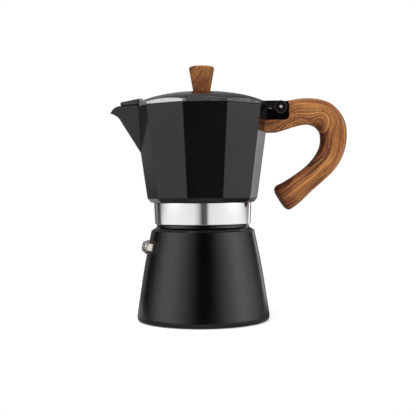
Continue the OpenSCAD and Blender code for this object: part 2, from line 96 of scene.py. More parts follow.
# Safety valve
VALVE_Z = 56.2
VALVE_LEAN = math.radians(1.5)   # how much more its axis is tilted than a straight cone's surface
VALVE_R = 4.0
VALVE_SEAT_R = 6.1
SPRING_START = -3.2              # along the valve's axis, from the wall's outer surface
SPRING_END = 3.5
SPRING_R = 1.95
SPRING_WIRE = 0.25
SPRING_TURNS = 5

# Collector
RIM_R = COLLECTOR_HIGH.y / math.sin(4 * HALF_SIDE)
WAIST_R = RIM_R - 9.5            # corner radius where the sides meet the bottom chamfer
FOOT_R = RIM_R - 12.3
SPIGOT_R = 34.85
SPIGOT_Z = SEAL_HIGH.z
FOOT_Z = COLLAR_HIGH.z
WAIST_Z = FOOT_Z + 3.2
RIM_Z = FOOT_Z + 71.6
WALL = 2.7
BOWL_Z = FOOT_Z + 4.4
CHAMBER_H = 4.4
COLUMN_TOP = FOOT_Z + 60
COLUMN_R = 6.0
COLUMN_BORE_R = 3.9
TIP_X = -COLLECTOR_LOW.x
TIP_Z = RIM_Z - 3.8
PROW_Z = RIM_Z - 33.7            # where the spout's keel leaves the body
SPOUT_ROOT_X = -RIM_R + 15
SPOUT_HALF_W = 10.0
SPOUT_WALL = 1.8
SPOUT_RISE = 1.4
LID_SIDE_GAP = 0.4

# Hinge
PIN_X = (PIN_LOW.x + PIN_HIGH.x) / 2
PIN_Z = (PIN_LOW.z + PIN_HIGH.z) / 2
PIN_R = PIN_HIGH.x - PIN_X
BLOCK_W = 10.0
BLOCK_LOW = PIN_Z - 9.8
BLOCK_TOP = COLLECTOR_HIGH.z
BLOCK_RIGHT = COLLECTOR_HIGH.x
BLOCK_CORNER = 2.8
LUG_IN = BLOCK_W / 2 + 0.3
LUG_OUT = LUG_IN + 2.4
LUG_R = 4.9
BAR_HIGH = 4.7                   # top and underside of the lugs' bars, above the pin
BAR_LOW = 0.3

# Lid
LID_Z = RIM_Z + 0.2
LID_R = RIM_R - 0.2
LID_TOP = LID_HIGH.z
LID_RISE = LID_TOP - LID_Z
LID_SIDE = 1.9
LID_WALL = 2.0
TAB_X = -LID_LOW.x

# Handle
HANDLE_HALF_W = HANDLE_HIGH.y
SQUARENESS = 2.6
SCREW_X = (SCREW_LOW.x + SCREW_HIGH.x) / 2

# ---------------------------------------------------------------- meshes


def body_r(z):
    """Corner radius of the collector's sides at a height."""
    return WAIST_R + (RIM_R - WAIST_R) * (z - WAIST_Z) / (RIM_Z - WAIST_Z)


def piece_from(name, points, faces):
    """A new object from points in millimetres."""
    mesh = bpy.data.meshes.new(name)
    mesh.from_pydata([Vector(p) * MM for p in points], [], faces)
    mesh.validate()
    mesh.update()
    piece = bpy.data.objects.new(name, mesh)
    bpy.context.scene.collection.objects.link(piece)
    return piece


def loft(name, rings, wrap=False):
    """Skins rings of points. A ring of one point is a pole; wrap joins the last ring to the first."""
    points, starts = [], []
    for ring in rings:
        starts.append(len(points))
        points.extend(ring)
    faces = []
    pairs = list(zip(range(len(rings) - 1), range(1, len(rings))))
    if wrap:
        pairs.append((len(rings) - 1, 0))
    for a, b in pairs:
        n = max(len(rings[a]), len(rings[b]))
        for k in range(n):
            m = (k + 1) % n
            if len(rings[a]) == 1:
                faces.append([starts[a], starts[b] + m, starts[b] + k])
            elif len(rings[b]) == 1:
                faces.append([starts[a] + k, starts[a] + m, starts[b]])
            else:
                faces.append([starts[a] + k, starts[a] + m, starts[b] + m, starts[b] + k])
    return piece_from(name, points, faces)


def circle(r, z, n):
    """A level ring round the pot's axis; a radius of 0 gives a pole."""
    if r < 1e-6:
        return [(0, 0, z)]
    return [(r * math.cos(math.tau * k / n), r * math.sin(math.tau * k / n), z) for k in range(n)]


def rounded(outline, arc_points=5):
    """Replaces each corner (r, z, fillet) of an outline with an arc of that radius."""
    result = []
    for i, (x, z, radius) in enumerate(outline):
        corner = np.array([x, z])
        if radius <= 0 or i in (0, len(outline) - 1):
            result.append((x, z))
            continue
        to_last = np.array(outline[i - 1][:2]) - corner
        to_next = np.array(outline[i + 1][:2]) - corner
        a = to_last / np.linalg.norm(to_last)
        b = to_next / np.linalg.norm(to_next)
        half = math.acos(np.clip(a @ b, -1, 1)) / 2
        reach = min(radius / math.tan(half), 0.49 * np.linalg.norm(to_last), 0.49 * np.linalg.norm(to_next))
        r = reach * math.tan(half)
        middle = corner + (a + b) / np.linalg.norm(a + b) * r / math.sin(half)
        start = corner + a * reach - middle
        end = corner + b * reach - middle
        turn = math.atan2(start[0] * end[1] - start[1] * end[0], start @ end)
        for k in range(arc_points):
            t = turn * k / (arc_points - 1)
            c, s = math.cos(t), math.sin(t)
            spun = np.array([start[0] * c - start[1] * s, start[0] * s + start[1] * c])
            result.append(tuple(middle + spun))
    return result


def lathe(name, outline, n):
    """A round piece turned about the pot's axis."""
    return loft(name, [circle(r, z, n) for r, z in outline])


def ten_ring(corner_r, z, edge, height=None):
    """A ten-sided ring with rounded corners. height(r) gives each point's own height, if set."""
    ring = []
    start = corner_r - edge / math.cos(HALF_SIDE)
    for k in range(SIDES):
        around = 2 * HALF_SIDE * k
        arc = [around + HALF_SIDE * (2 * i / (CORNER_POINTS - 1) - 1) for i in range(CORNER_POINTS)]
        corner = [(start * math.cos(around) + edge * math.cos(a),
                   start * math.sin(around) + edge * math.sin(a)) for a in arc]
        turn = 2 * HALF_SIDE
        nx = corner[0][0] * math.cos(turn) - corner[0][1] * math.sin(turn)
        ny = corner[0][0] * math.sin(turn) + corner[0][1] * math.cos(turn)
        x, y = corner[-1]
        flat = [(x + (nx - x) * j / (FLAT_POINTS + 1), y + (ny - y) * j / (FLAT_POINTS + 1))
                for j in range(1, FLAT_POINTS + 1)]
        ring.extend(corner + flat)
    return [(x, y, z if height is None else height(math.hypot(x, y))) for x, y in ring]


def round_ring(r, z):
    """A round ring whose points match those of a ten-sided one."""
    return [(x * r / math.hypot(x, y), y * r / math.hypot(x, y), z) for x, y, _ in ten_ring(RIM_R, z, EDGE)]


def extruded(name, outline, half, edge=0.0, arc_points=3):
    """An upright plate: an outline (x, z, fillet) closed on itself, half thick to each side in Y,
    with its edges rounded."""
    wrapped = [outline[-1]] + outline + [outline[0]]
    flat = rounded(wrapped, arc_points)[1:-1]
    area = sum(flat[i - 1][0] * flat[i][1] - flat[i][0] * flat[i - 1][1] for i in range(len(flat)))
    if area > 0:
        flat = flat[::-1]
    points = [(x, y, z) for y in (-half, half) for x, z in flat]
    n = len(flat)
    faces = [[k, (k + 1) % n, n + (k + 1) % n, n + k] for k in range(n)]
    faces += [list(range(n))[::-1], list(range(n, 2 * n))]
    piece = piece_from(name, points, faces)
    if edge:
        bevel(piece, edge)
    return piece


def turned(name, outline, n, place):
    """A lathe piece, closed, moved to a place: a matrix in millimetres."""
    piece = lathe(name, outline, n)
    matrix = place.copy()
    matrix.translation = place.translation * MM
    piece.data.transform(matrix)
    return piece


def settle(piece):
    """Applies a piece's modifiers to its mesh."""
    bpy.context.view_layer.update()
    graph = bpy.context.evaluated_depsgraph_get()
    mesh = bpy.data.meshes.new_from_object(piece.evaluated_get(graph))
    old = piece.data
    piece.modifiers.clear()
    piece.data = mesh
    bpy.data.meshes.remove(old)
    mesh.name = piece.name
    return piece


def bevel(piece, width, angle=25, segments=3):
    """Rounds every edge sharper than an angle."""
    rounding = piece.modifiers.new("rounding", "BEVEL")
    rounding.width = width * MM
    rounding.segments = segments
    rounding.limit_method = "ANGLE"
    rounding.angle_limit = math.radians(angle)
    rounding.use_clamp_overlap = True
    return settle(piece)


def combine(piece, other, operation):
    """Joins, cuts or crosses a piece with another, which is used up."""
    cut = piece.modifiers.new("cut", "BOOLEAN")
    cut.operation = operation
    cut.solver = "MANIFOLD"
    cut.object = other
    settle(piece)
    mesh = other.data
    bpy.data.objects.remove(other)
    bpy.data.meshes.remove(mesh)
    return piece


def smooth(piece, angle=28):
    """Smooth shading that keeps edges sharper than the angle, with large faces kept flat."""
    mesh = piece.data
    mesh.polygons.foreach_set("use_smooth", np.ones(len(mesh.polygons), bool))
    mesh.set_sharp_from_angle(angle=math.radians(angle))
    weighted = piece.modifiers.new("weighted", "WEIGHTED_NORMAL")
    weighted.keep_sharp = True
    weighted.weight = 50
    return piece


def along_y(x, z):
    """A place whose own Z axis lies along the pot's Y axis."""
    return Matrix.Translation((x, 0, z)) @ Matrix.Rotation(math.pi / 2, 4, "X")


def rod(name, r, half, x, z, n=48):
    """A plain cutter across the pot."""
    return turned(name, [(0, -half), (r, -half), (r, half), (0, half)], n, along_y(x, z))


# ---------------------------------------------------------------- boiler


def boiler_r(t):
    """Outer radius of the side wall, at a share t of its height."""
    return BASE_R + (SHOULDER_R - BASE_R) * t + BULGE * 4 * t * (1 - t)


def side_z(t):
    return SIDE_LOW_Z + (SHOULDER_Z - SIDE_LOW_Z) * t


def ridge_at(angle, z, low, high):
    """How far a screw thread stands out at a place, from 0 to 1, fading at both ends."""
    turn = ((z - low) / PITCH - angle / math.tau) % 1
    crest = max(0.0, 1 - max(0.0, abs(turn - 0.5) - 0.08) / 0.2)
    ends = min(1.0, max(0.0, (z - low) / (0.4 * PITCH)), max(0.0, (high - z) / (0.4 * PITCH)))
    return min(crest, 1.0) * ends


def thread_rows(r, depth, low, high, n, rows):
    """Rings of a threaded stretch, from low to high; depth is negative for a nut."""
    rings = []
    for i in range(rows + 1):
        z = low + (high - low) * i / rows
        ring = []
        for k in range(n):
            a = math.tau * k / n
            here = r + depth * ridge_at(a, z, low, high)
            ring.append((here * math.cos(a), here * math.sin(a), z))
        rings.append(ring)
    return rings


def valve_place():
    """Where the safety valve's axis comes out of the wall, and the way it points."""
    low, high = span("valve_body")
    centre = (low + high) / 2
    around = math.atan2(centre.y, centre.x)
    tilt = math.atan((BASE_R - SHOULDER_R) / SHOULDER_Z) + VALVE_LEAN
    r = boiler_r((VALVE_Z - SIDE_LOW_Z) / (SHOULDER_Z - SIDE_LOW_Z))
    seat = Vector((r * math.cos(around), r * math.sin(around), VALVE_Z))
    axis = Vector((math.cos(around) * math.cos(tilt), math.sin(around) * math.cos(tilt), math.sin(tilt)))
    return Matrix.Translation(seat) @ axis.to_track_quat("Z", "Y").to_matrix().to_4x4()


def make_boiler():
    """The boiler as one closed skin: flat sole, side, shoulder, threaded neck, and the inside."""
    n = ROUND_POINTS
    base = rounded([(0, 0, 0), (BASE_R - 4.2, 0, 0.6), (BASE_R - 3.6, 0.35, 0.6), (BASE_R - 0.45, 0.35, 1.9),
                    (BASE_R, SIDE_LOW_Z, 0)], 9)
    side = [(boiler_r(t), side_z(t)) for t in np.linspace(0.02, 0.985, 40)]
    top = rounded([side[-1] + (0,), (SHOULDER_R, SHOULDER_Z, 0.9), (STEP_R + 0.2, SHOULDER_Z + 2.7, 0.5),
                   (STEP_R, SHOULDER_Z + 4.6, 0.3), (NECK_R, SHOULDER_Z + 5.5, 0)], 5)
    rings = [circle(r, z, n) for r, z in base + side + top[1:]]
    rings += thread_rows(NECK_R, RIDGE, SHOULDER_Z + 5.7, NECK_TOP - 0.6, n, 60)
    mouth = rounded([(NECK_R, NECK_TOP - 0.5, 0), (NECK_R, NECK_TOP, 0.35), (NECK_BORE_R, NECK_TOP, 0.35),
                     (NECK_BORE_R, SHOULDER_Z - 1, 1), (boiler_r(0.93) - BOILER_WALL, side_z(0.93), 0)], 4)
    inside = [(boiler_r(t) - BOILER_WALL, side_z(t)) for t in np.linspace(0.9, 0.06, 16)]
    floor = rounded([inside[-1] + (0,), (BASE_R - BOILER_WALL - 1, FLOOR_T, 2.5), (0, FLOOR_T, 0)], 6)
    rings += [circle(r, z, n) for r, z in mouth + inside + floor[1:]]
    boiler = loft("boiler_shell", rings)
    hole = rounded([(0, -12, 0), (VALVE_R, -12, 0), (VALVE_R, -0.6, 0), (VALVE_SEAT_R, -0.6, 0.3),
                    (VALVE_SEAT_R, 5, 0), (0, 5, 0)])
    cutter = turned("cutter", hole, 48, valve_place())
    return combine(boiler, cutter, "DIFFERENCE")


# ---------------------------------------------------------------- collar


def make_collar():
    """The polished ring, threaded inside."""
    n = ROUND_POINTS
    low, high = COLLAR_LOW.z, COLLAR_HIGH.z
    low_r, high_r = 36.4, COLLAR_HIGH.x
    outside = rounded([(SPIGOT_R, low + 0.4, 0), (SPIGOT_R + 0.35, low, 0.2), (low_r, low, 0.45),
                       (high_r, high, 0.4), (SPIGOT_R, high, 0.2), (SPIGOT_R, high - 1.2, 0)], 6)
    rings = [circle(r, z, n) for r, z in outside]
    rings += thread_rows(SPIGOT_R, -RIDGE, low + 0.5, high - 1.4, n, 60)[::-1]
    return loft("collar_ring", rings, wrap=True)


# ---------------------------------------------------------------- collector


def spout_outline():
    """Side view of the beak (x, z): prow, drooping under-curve, rounded top edge."""
    prow = np.array([-body_r(PROW_Z), PROW_Z])
    tip = np.array([-TIP_X, TIP_Z])

    def curve(a, b, c, t):
        return a * (1 - t) ** 2 + b * 2 * t * (1 - t) + c * t * t

    under = [curve(tip + (7.3, -4.9), tip + (5.1, -1.4), tip, t) for t in np.linspace(0, 0.92, 8)]
    crest = np.array([-TIP_X + 7, RIM_Z + SPOUT_RISE])
    over = [curve(tip, tip + (2.1, 4.6), crest, t) for t in np.linspace(0, 1, 8)]
    beak = [tuple(p) for p in under + over]
    return [(SPOUT_ROOT_X, PROW_Z - 8), tuple(prow)] + beak + [(SPOUT_ROOT_X, crest[1])]


def wedge(name, back, top):
    """The space between the spout's two flat sides, moved back by a wall's thickness."""
    prow = (-body_r(PROW_Z), PROW_Z)
    slope = (-TIP_X - prow[0]) / (TIP_Z - prow[1])

    def nose(z):
        return prow[0] + slope * (z - prow[1])

    root_x = -RIM_R + SPOUT_HALF_W * math.tan(HALF_SIDE)
    spread = SPOUT_HALF_W / (root_x - nose(RIM_Z))
    inner = -RIM_R + 16
    low = prow[1] + (inner - prow[0]) / slope
    width = spread * (inner - nose(top))
    points = [(inner, 0, low), (inner, -width, top), (inner, width, top), (nose(top), 0, top)]
    points = [(x + back, y, z) for x, y, z in points]
    return piece_from(name, points, [[0, 2, 1], [3, 1, 2], [3, 0, 1], [2, 0, 3]])


def plate(name, outline, half):
    """An upright plate with sharp corners."""
    return extruded(name, [(x, z, 0) for x, z in outline], half)


def make_spout():
    """The solid spout: its side view crossed with the space between its two flat sides."""
    spout = plate("spout", spout_outline(), 30)
    spout = combine(spout, wedge("wedge", 0, RIM_Z + 4), "INTERSECT")
    return bevel(spout, 0.5, 20, 3)


def make_channel():
    """What is cut out of the spout, open at the top."""
    rise = SPOUT_WALL * 1.6
    prow = (-body_r(PROW_Z), PROW_Z)
    top = RIM_Z + 5
    outline = [(SPOUT_ROOT_X, PROW_Z - 8), (prow[0], prow[1] + rise), (-TIP_X + 7.3, TIP_Z + rise - 4.9),
               (-TIP_X + 4, TIP_Z + rise - 1.6), (-TIP_X, TIP_Z + rise), (-TIP_X, top), (SPOUT_ROOT_X, top)]
    channel = plate("channel", outline, 30)
    return combine(channel, wedge("wedge", SPOUT_WALL * 2.6, RIM_Z + 6), "INTERSECT")


def block_extent(grow):
    """Left, low and right edges of the hinge block, grown by a clearance."""
    low = BLOCK_LOW - grow
    right = BLOCK_RIGHT + grow
    left = body_r(BLOCK_LOW) - BLOCK_W / 2 * math.tan(HALF_SIDE) - 0.4
    return left, low, right


def make_block():
    left, low, right = block_extent(0)
    step_x = RIM_R + 3.4
    outline = [(left, low, 0), (right, low, BLOCK_CORNER), (right, BLOCK_TOP, 1.2), (step_x, BLOCK_TOP, 0.9),
               (step_x, LID_Z - 0.8, 0.4), (left, LID_Z - 0.8, 0)]
    return extruded("block", outline, BLOCK_W / 2, edge=0.4, arc_points=5)


def make_collector():
    """The cast body with its coffee column, spout, lid seat and hinge block."""
    edge_in = 2.2
    inset = WALL / math.cos(HALF_SIDE)
    chamber_top = SPIGOT_Z + CHAMBER_H
    rings = [[(0, 0, COLUMN_TOP - 2)]]
    rings += [round_ring(r, z) for r, z in rounded([
        (COLUMN_BORE_R - 0.3, COLUMN_TOP - 2, 0), (COLUMN_BORE_R, COLUMN_TOP - 2.3, 0),
        (COLUMN_BORE_R, chamber_top + 0.5, 0.8), (25.4, SPIGOT_Z, 0.3), (SPIGOT_R, SPIGOT_Z, 0.25),
        (SPIGOT_R, FOOT_Z, 0)], 4)]
    outer = rounded([(SPIGOT_R + 1, FOOT_Z, 0), (FOOT_R, FOOT_Z, 0.5), (WAIST_R, WAIST_Z, 0.9),
                     (RIM_R, RIM_Z, 0.5), (RIM_R - inset + 0.2, RIM_Z, 0)], 5)
    rings += [ten_ring(r, z, EDGE) for r, z in outer[1:]]
    inner = rounded([(RIM_R - inset + 0.2, RIM_Z, 0), (RIM_R - inset, RIM_Z - 0.4, 0.35),
                     (body_r(BOWL_Z) - inset, BOWL_Z, 3.0), (30.5, BOWL_Z, 0)], 7)
    rings += [ten_ring(r, z, edge_in) for r, z in inner[1:-1]]
    base_r = COLUMN_R + 3
    column = rounded([(31.5, BOWL_Z, 0), (base_r + 2, BOWL_Z + 5, 4), (base_r, BOWL_Z + 8, 3),
                      (COLUMN_R, COLUMN_TOP - 1, 0.8), (COLUMN_R - 1.2, COLUMN_TOP, 0.6),
                      (0, COLUMN_TOP, 0)], 5)
    rings += [round_ring(r, z) for r, z in column[:-1]]
    rings.append([(0, 0, COLUMN_TOP)])
    body = loft("collector_body", rings)
    combine(body, make_spout(), "UNION")
    combine(body, make_channel(), "DIFFERENCE")
    seat_z = RIM_Z + 0.05
    seat_r = LID_R + LID_SIDE_GAP
    seat_top = seat_z + 3
    seat = loft("seat", [[(0, 0, seat_z)], ten_ring(seat_r, seat_z, EDGE), ten_ring(seat_r, seat_top, EDGE),
                         [(0, 0, seat_top)]])
    combine(body, seat, "DIFFERENCE")
    slot = extruded("slot", [(-20, COLUMN_TOP - 10, 0), (20, COLUMN_TOP - 10, 0), (20, COLUMN_TOP - 2, 0),
                             (-20, COLUMN_TOP - 2, 0)], 2)
    combine(body, slot, "DIFFERENCE")
    combine(body, make_block(), "UNION")
    combine(body, rod("bore", PIN_R, 12, PIN_X, PIN_Z), "DIFFERENCE")
    return body


# ---------------------------------------------------------------- lid


def dome_z(r):
    """Height of the lid's top at a distance from its axis."""
    u = r / LID_R
    return LID_Z + LID_RISE - (LID_RISE - LID_SIDE) * (0.79 * u ** 2 + 0.21 * u ** 8)


def make_lid():
    """The domed shell with its tab over the spout and its two hinge lugs."""
    edge = 0.5
    rows = 26
    rings = [[(0, 0, dome_z(0))]]
    for i in range(1, rows + 1):
        # A row is round at the middle and takes the ten-sided shape towards the rim
        share = i / rows
        r = (LID_R - edge * 0.55) * share
        square = ten_ring(r, 0, min(r * 0.8, EDGE + (1 - share) * 40), dome_z)
        rings.append(square)
    turn0 = math.radians(60)
    for i in range(1, 5):
        a = turn0 * (1 - i / 4)
        out = edge * (math.cos(a) - 1)
        up = edge * (math.sin(a) - math.sin(turn0))
        rings.append(ten_ring(LID_R + out, 0, EDGE, lambda r: dome_z(r - out) + up))
    rings += [ten_ring(LID_R, LID_Z + 0.35, EDGE), ten_ring(LID_R - 0.12, LID_Z + 0.1, EDGE),
              ten_ring(LID_R - 0.4, LID_Z, EDGE)]
    inner = LID_R - LID_WALL / math.cos(HALF_SIDE)
    rings += [ten_ring(inner, LID_Z, 1.2), ten_ring(inner - 0.1, LID_Z + 0.3, 1.2)]
    for i in range(rows, 0, -1):
        r = (inner - 0.4) * i / rows
        rings.append(ten_ring(r, 0, min(r * 0.8, 1.2 + (1 - i / rows) * 40), lambda r: dome_z(r) - LID_WALL))
    rings.append([(0, 0, dome_z(0) - LID_WALL)])
    shell = loft("lid_shell", rings[::-1])

    low = LID_Z + SPOUT_RISE + 0.3
    root = -RIM_R + 7
    corner = -RIM_R + 1.1
    tip_top = low + 2.6
    plan = [(root, 9), (corner, 8), (-TAB_X, 1.8), (-TAB_X, -1.8), (corner, -8), (root, -9)]
    slope = 2.5 / (root + TAB_X)
    points = [(x, y, low) for x, y in plan]
    points += [(x, y, tip_top + slope * (x + TAB_X)) for x, y in plan]
    n = len(plan)
    faces = [[k, (k + 1) % n, n + (k + 1) % n, n + k] for k in range(n)]
    faces += [list(range(n))[::-1], list(range(n, 2 * n))]
    tab = piece_from("tab", points, faces)
    bevel(tab, 0.8, 20, 4)
    combine(shell, tab, "UNION")

    for side in (-1, 1):
        half = (LUG_OUT - LUG_IN) / 2
        start = RIM_R - 6
        a0 = math.asin(BAR_LOW / LUG_R)
        a1 = math.asin(BAR_HIGH / LUG_R)
        # Round the pin, from the bar's underside over the far side to its top
        arc = [(PIN_X + LUG_R * math.cos(a), PIN_Z + LUG_R * math.sin(a))
               for a in np.linspace(math.pi - a0, math.pi * 2 + a1 + (math.pi - 2 * a1), 40)]
        outline = [(x, z, 0) for x, z in arc]
        outline += [(start, PIN_Z + BAR_HIGH, 0), (start, PIN_Z + BAR_LOW, 0)]
        lug = extruded("lug", outline, half)
        bevel(lug, 0.7, 40, 3)
        lug.data.transform(Matrix.Translation((0, side * (LUG_IN + LUG_OUT) / 2 * MM, 0)))
        combine(shell, lug, "UNION")
    combine(shell, rod("bore", PIN_R + 0.06, 12, PIN_X, PIN_Z), "DIFFERENCE")
    return shell


# ---------------------------------------------------------------- valve spring


def make_spring():
    """The safety valve's coil spring, from the plunger's disc out to the valve body's shoulder."""
    per_turn, around = 28, 10
    height = SPRING_END - SPRING_START
    steps = per_turn * SPRING_TURNS
    place = valve_place()
    rings = []
    for i in range(steps + 1):
        a = math.tau * i / per_turn
        # The first and last turns are closed, so that they sit flat
        share = min(1.0, max(0.0, (i / steps - 0.08) / 0.84))
        z = SPRING_START + SPRING_WIRE + (height - 2 * SPRING_WIRE) * share
        ring = []
        for k in range(around):
            b = math.tau * k / around
            r = SPRING_R + SPRING_WIRE * math.cos(b)
            ring.append(place @ Vector((r * math.cos(a), r * math.sin(a), z + SPRING_WIRE * math.sin(b))))
        rings.append(ring)
    first, last = [[sum(ring, Vector()) / around] for ring in (rings[0], rings[-1])]
    return loft("spring_coil", [first] + rings + [last])


# ---------------------------------------------------------------- knob and handle


def make_knob():
    """A grip that widens to a slightly crowned top."""
    foot_r = 6.45
    top_r = KNOB_HIGH.x
    low, high = KNOB_LOW.z, KNOB_HIGH.z
    outline = rounded([(0, low, 0), (foot_r - 0.3, low, 0.3), (foot_r + 0.1, low + 0.7, 0.5),
                       (foot_r + 1.6, low + 9, 20), (top_r, high - 1.9, 1.1), (top_r - 0.3, high - 0.4, 1.2),
                       (top_r - 2.2, high - 0.05, 1.5), (0, high, 0)], 9)
    return lathe("knob_grip", outline, 96)


# Handle stations: distance out from the block, height from the rim, half depth
STATIONS = [
    (-9, -2.6, 10.4), (0, -4.7, 10.4), (9, -3.1, 10.1), (18, -2.9, 10.2), (27.2, -5.9, 10.9),
    (33.4, -13.2, 10.7), (35.1, -22.2, 10.1), (33.5, -32.4, 9.6), (28.4, -41.8, 9.2),
    (20.4, -50.2, 8.6), (11.7, -57.3, 8.9), (1.5, -65.2, 10.1), (-6.8, -70.1, 10.6), (-13, -74.4, 9)]


PATH_STEPS = 12


def handle_path(steps):
    """Places along the handle's centre line: x, z and half depth."""
    p = np.array(STATIONS, float)
    path = []
    for i in range(1, len(p) - 2):
        for j in range(steps):
            t = j / steps
            a, b, c, d = p[i - 1], p[i], p[i + 1], p[i + 2]
            path.append(0.5 * (2 * b + (c - a) * t + (2 * a - 5 * b + 4 * c - d) * t * t
                               + (3 * b - a - 3 * c + d) * t ** 3))
    path.append(p[-2])
    path = np.array(path)
    path[:, 0] += BLOCK_RIGHT + 0.1
    path[:, 1] += RIM_Z
    return path


def make_handle():
    """The hooked grip and its foot, cut to fit the block and the collector's side."""
    steps = PATH_STEPS
    n = 56
    path = handle_path(steps)
    ahead = np.gradient(path[:, :2], axis=0)
    ahead /= np.linalg.norm(ahead, axis=1)[:, None]
    ahead[0] = (1, 0)
    # The far end closes in a rounded cap over its last stretch
    distance = np.concatenate([[0], np.cumsum(np.linalg.norm(np.diff(path[:, :2], axis=0), axis=1))])
    cap = 4.2
    rings = []
    for (x, z, half), (dx, dz), s in zip(path, ahead, distance):
        left = distance[-1] - s
        shrink = 1.0
        if left < cap:
            shrink = 0.62 + 0.38 * math.sqrt(max(0.0, 1 - ((cap - left) / cap) ** 2))
        ring = []
        for k in range(n):
            a = math.tau * k / n
            e = 2 / SQUARENESS
            u = HANDLE_HALF_W * shrink * math.copysign(abs(math.cos(a)) ** e, math.cos(a))
            v = half * shrink * math.copysign(abs(math.sin(a)) ** e, math.sin(a))
            ring.append((x - dz * v, u, z + dx * v))
        rings.append(ring)
    rings = [[(path[0][0], 0, path[0][1])]] + rings + [[(path[-1][0], 0, path[-1][1])]]
    grip = loft("handle_grip", rings)
    left = body_r(BLOCK_LOW - 9) - 3
    right = BLOCK_RIGHT + 3
    low = BLOCK_LOW
    tongue = [(left, low - 8.4, 0.8), (left + 3.4, low - 9, 1), (left + 7, low - 9, 2),
              (left + 12, low - 8.8, 3), (left + 17.5, low - 7.1, 3), (right, low - 5.6, 0),
              (right, low + 2.6, 0), (BLOCK_RIGHT - 2.5, low + 2.6, 0), (BLOCK_RIGHT - 2.5, low, 0),
              (left, low, 0.6)]
    foot = extruded("foot", tongue, HANDLE_HALF_W - 0.8, edge=1.2, arc_points=5)
    combine(grip, foot, "UNION")
    cut_left, cut_low, cut_right = block_extent(0.1)
    cut_top = BLOCK_TOP + 9
    socket = [(cut_left, cut_low, 0), (cut_right, cut_low, BLOCK_CORNER + 0.1), (cut_right, cut_top, 0),
              (cut_left, cut_top, 0)]
    cutter = extruded("cutter", socket, HANDLE_HALF_W + 2, arc_points=7)
    combine(grip, cutter, "DIFFERENCE")
    clear = 0.08
    cutter = loft("cutter", [[(0, 0, WAIST_Z)], ten_ring(WAIST_R + clear, WAIST_Z, EDGE),
                             ten_ring(RIM_R + clear, RIM_Z, EDGE), [(0, 0, RIM_Z)]])
    combine(grip, cutter, "DIFFERENCE")
    seat = SCREW_LOW.z + 2
    recess = turned("recess", rounded([(0, seat - 20, 0), (3.45, seat - 20, 0), (3.45, seat + 0.6, 0),
                                       (1.7, seat + 0.6, 0), (1.7, seat + 12, 0), (0, seat + 12, 0)]), 40,
                    Matrix.Translation((SCREW_X, 0, 0)))
    combine(grip, recess, "DIFFERENCE")
    mark_grain(grip, path, distance)
    return grip


def mark_grain(piece, path, distance):
    """Gives each point its place in the straightened handle: across, depth and length, in metres."""
    mesh = piece.data
    co = np.zeros(len(mesh.vertices) * 3)
    mesh.vertices.foreach_get("co", co)
    co = co.reshape(-1, 3) / MM
    away_x = co[:, None, 0] - path[None, :, 0]
    away_z = co[:, None, 2] - path[None, :, 1]
    nearest = np.argmin(away_x ** 2 + away_z ** 2, axis=1)
    ahead = np.gradient(path[:, :2], axis=0)
    ahead /= np.linalg.norm(ahead, axis=1)[:, None]
    d = ahead[nearest]
    off = co[:, [0, 2]] - path[nearest, :2]
    depth = -off[:, 0] * d[:, 1] + off[:, 1] * d[:, 0]
    length = distance[nearest] + (off * d).sum(axis=1)
    grain = np.stack([co[:, 1], depth, length], axis=1) * MM
    attribute = mesh.attributes.new("grain", "FLOAT_VECTOR", "POINT")
    attribute.data.foreach_set("vector", grain.astype(np.float32).ravel())


# ---------------------------------------------------------------- materials


def add_node(tree, kind, inputs=None, **settings):
    """A new node, with each input linked to a socket or set to a value."""
    node = tree.nodes.new(kind)
    for key, value in settings.items():
        setattr(node, key, value)
    for key, value in (inputs or {}).items():
        if isinstance(value, bpy.types.NodeSocket):
            tree.links.new(value, node.inputs[key])
        else:
            node.inputs[key].default_value = value
    return node


def add_ramp(tree, value, stops):
    """A colour ramp through (position, colour) stops."""
    node = add_node(tree, "ShaderNodeValToRGB", {"Fac": value})
    band = node.color_ramp
    while len(band.elements) < len(stops):
        band.elements.new(0.5)
    for element, (at, colour) in zip(band.elements, stops):
        element.position = at
        element.color = (*colour, 1)
    return node.outputs["Color"]


